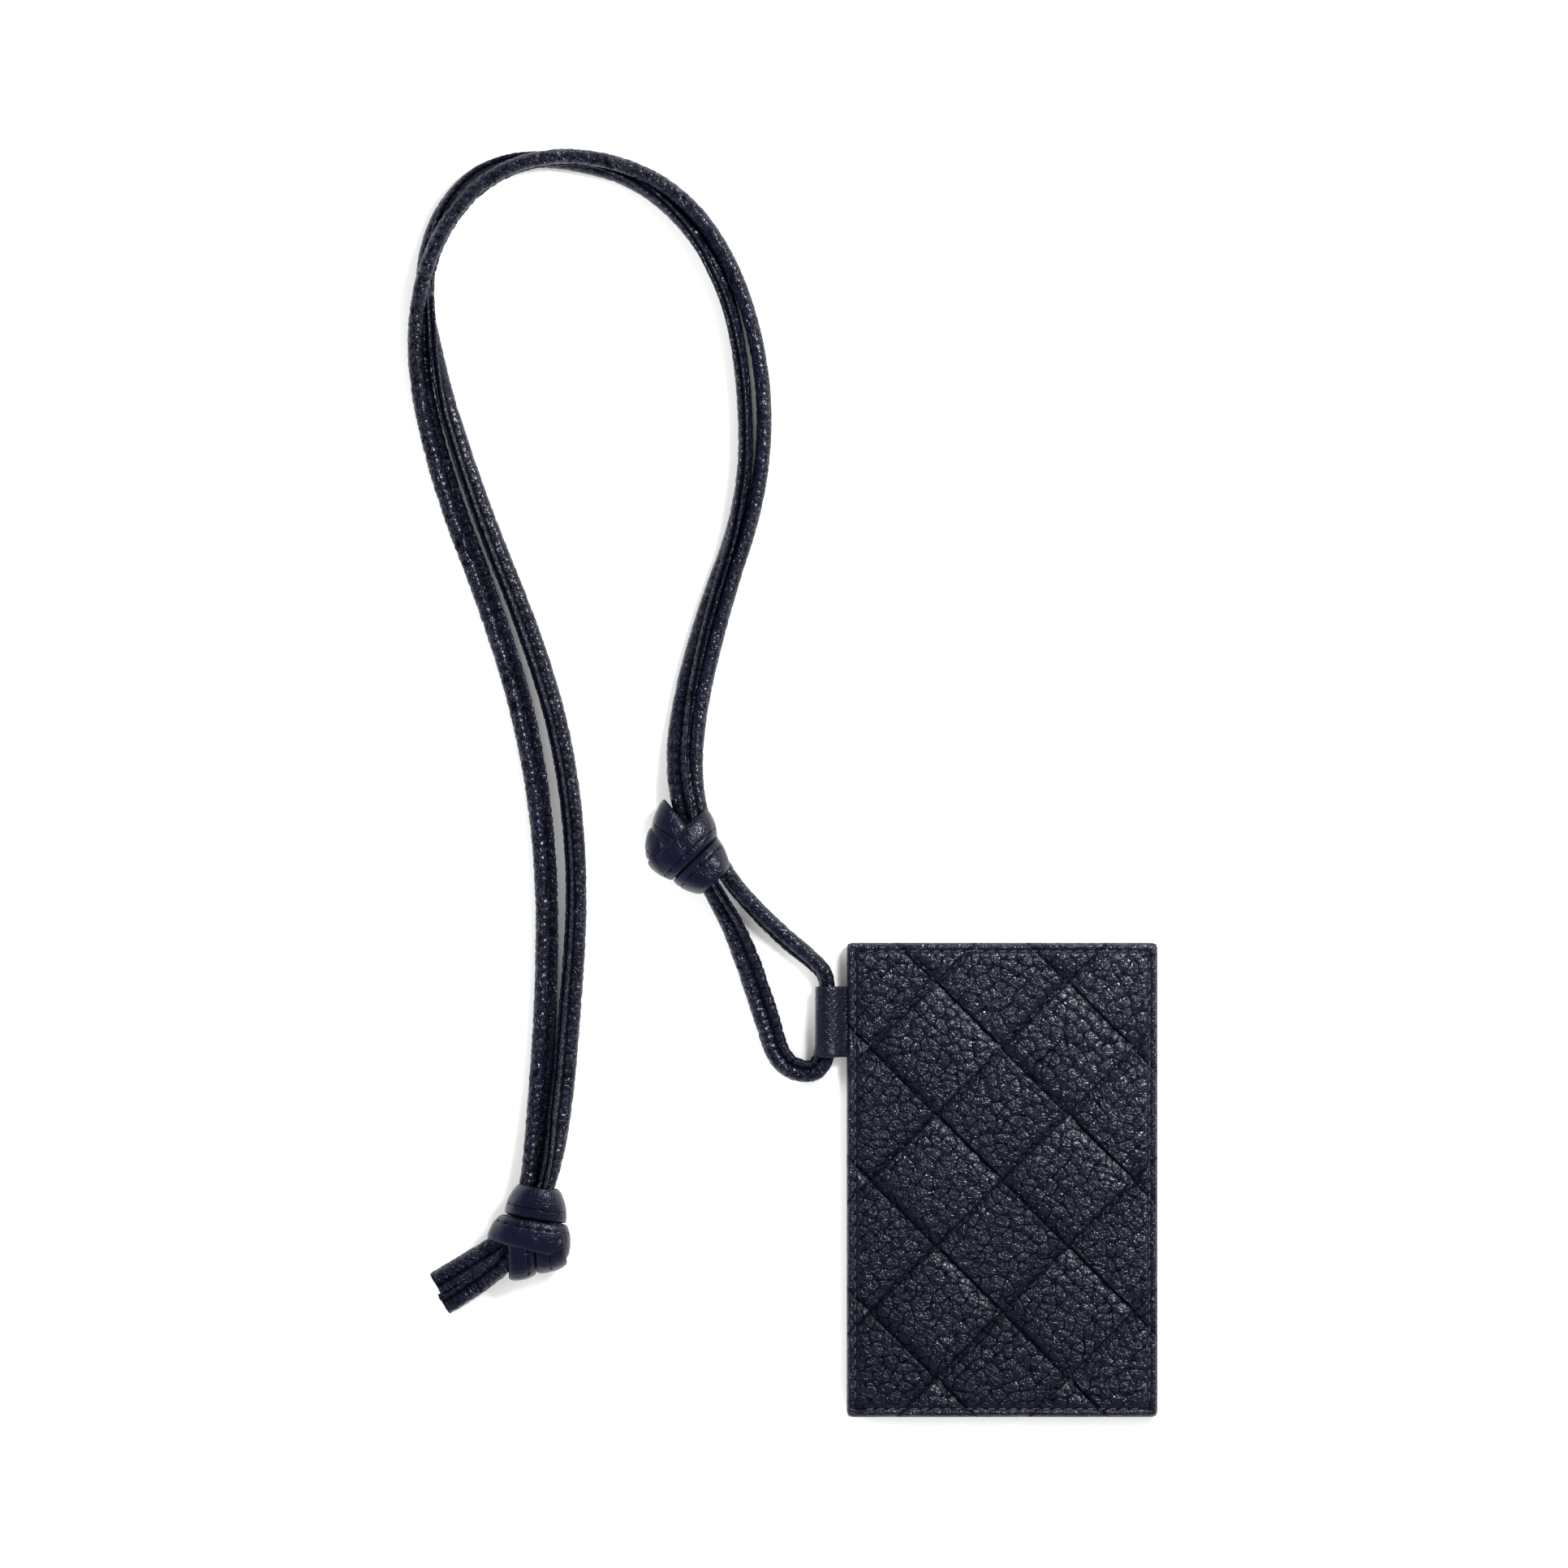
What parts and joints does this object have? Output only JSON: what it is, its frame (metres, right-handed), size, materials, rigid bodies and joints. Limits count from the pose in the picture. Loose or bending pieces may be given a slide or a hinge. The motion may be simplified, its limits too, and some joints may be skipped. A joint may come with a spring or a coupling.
{
  "type": "neck pouch wallet",
  "caption": "Flat leather card pouch with a front of wide diagonal woven strips, hung from a knotted doubled leather neck cord that runs through a side tab.",
  "frame": {"origin": "on the resting face, under the middle of the pouch and its tab together", "axes": "+Y towards the pouch's open mouth, +X away from the tab, +Z out of the woven front"},
  "size_m": [0.1844, 0.3123, 0.013],
  "materials": {
    "grained_leather": "pebbled dark navy calf leather, satin",
    "seam_leather": "smooth dark cut edge, matt",
    "tab_leather": "finely grained dark navy leather, satin",
    "cord_leather": "soft dark navy leather rolled round a core, satin",
    "lining": "plain dark lining, matt",
    "backing_cloth": "plain dark backing cloth, matt",
    "thread": "waxed dark navy thread"
  },
  "bodies": {
    "pouch": {"back_panel": "grained_leather", "back_lining": "lining", "front_lining": "lining", "front_backer": "backing_cloth", "welt_bottom": "seam_leather", "welt_right": "seam_leather", "welt_left_lower": "seam_leather", "welt_left_upper": "seam_leather", "cord_tab": "tab_leather", "falling_strip_1": "grained_leather", "falling_strip_2": "grained_leather", "falling_strip_3": "grained_leather", "falling_strip_4": "grained_leather", "falling_strip_5": "grained_leather", "falling_strip_6": "grained_leather", "rising_strip_1": "grained_leather", "rising_strip_2": "grained_leather", "rising_strip_3": "grained_leather", "rising_strip_4": "grained_leather", "rising_strip_5": "grained_leather", "rising_strip_6": "grained_leather", "thread_mouth": "thread", "thread_bottom": "thread", "thread_left": "thread", "thread_right": "thread"},
    "lanyard": {"cord_in_tab": "cord_leather", "loop_upper": "cord_leather", "loop_lower": "cord_leather", "strand_outer": "cord_leather", "strand_inner": "cord_leather", "tail_upper": "cord_leather", "tail_lower": "cord_leather", "pouch_knot": "cord_leather", "end_knot": "cord_leather"}
  },
  "joints": [
    {"name": "lanyard_swivel", "type": "hinge", "parent": "pouch", "child": "lanyard", "pos_m": [-0.0385, 0.0387, 0.0034], "axis": [0, 1, 0], "range_deg": [-100, 115]}
  ]
}
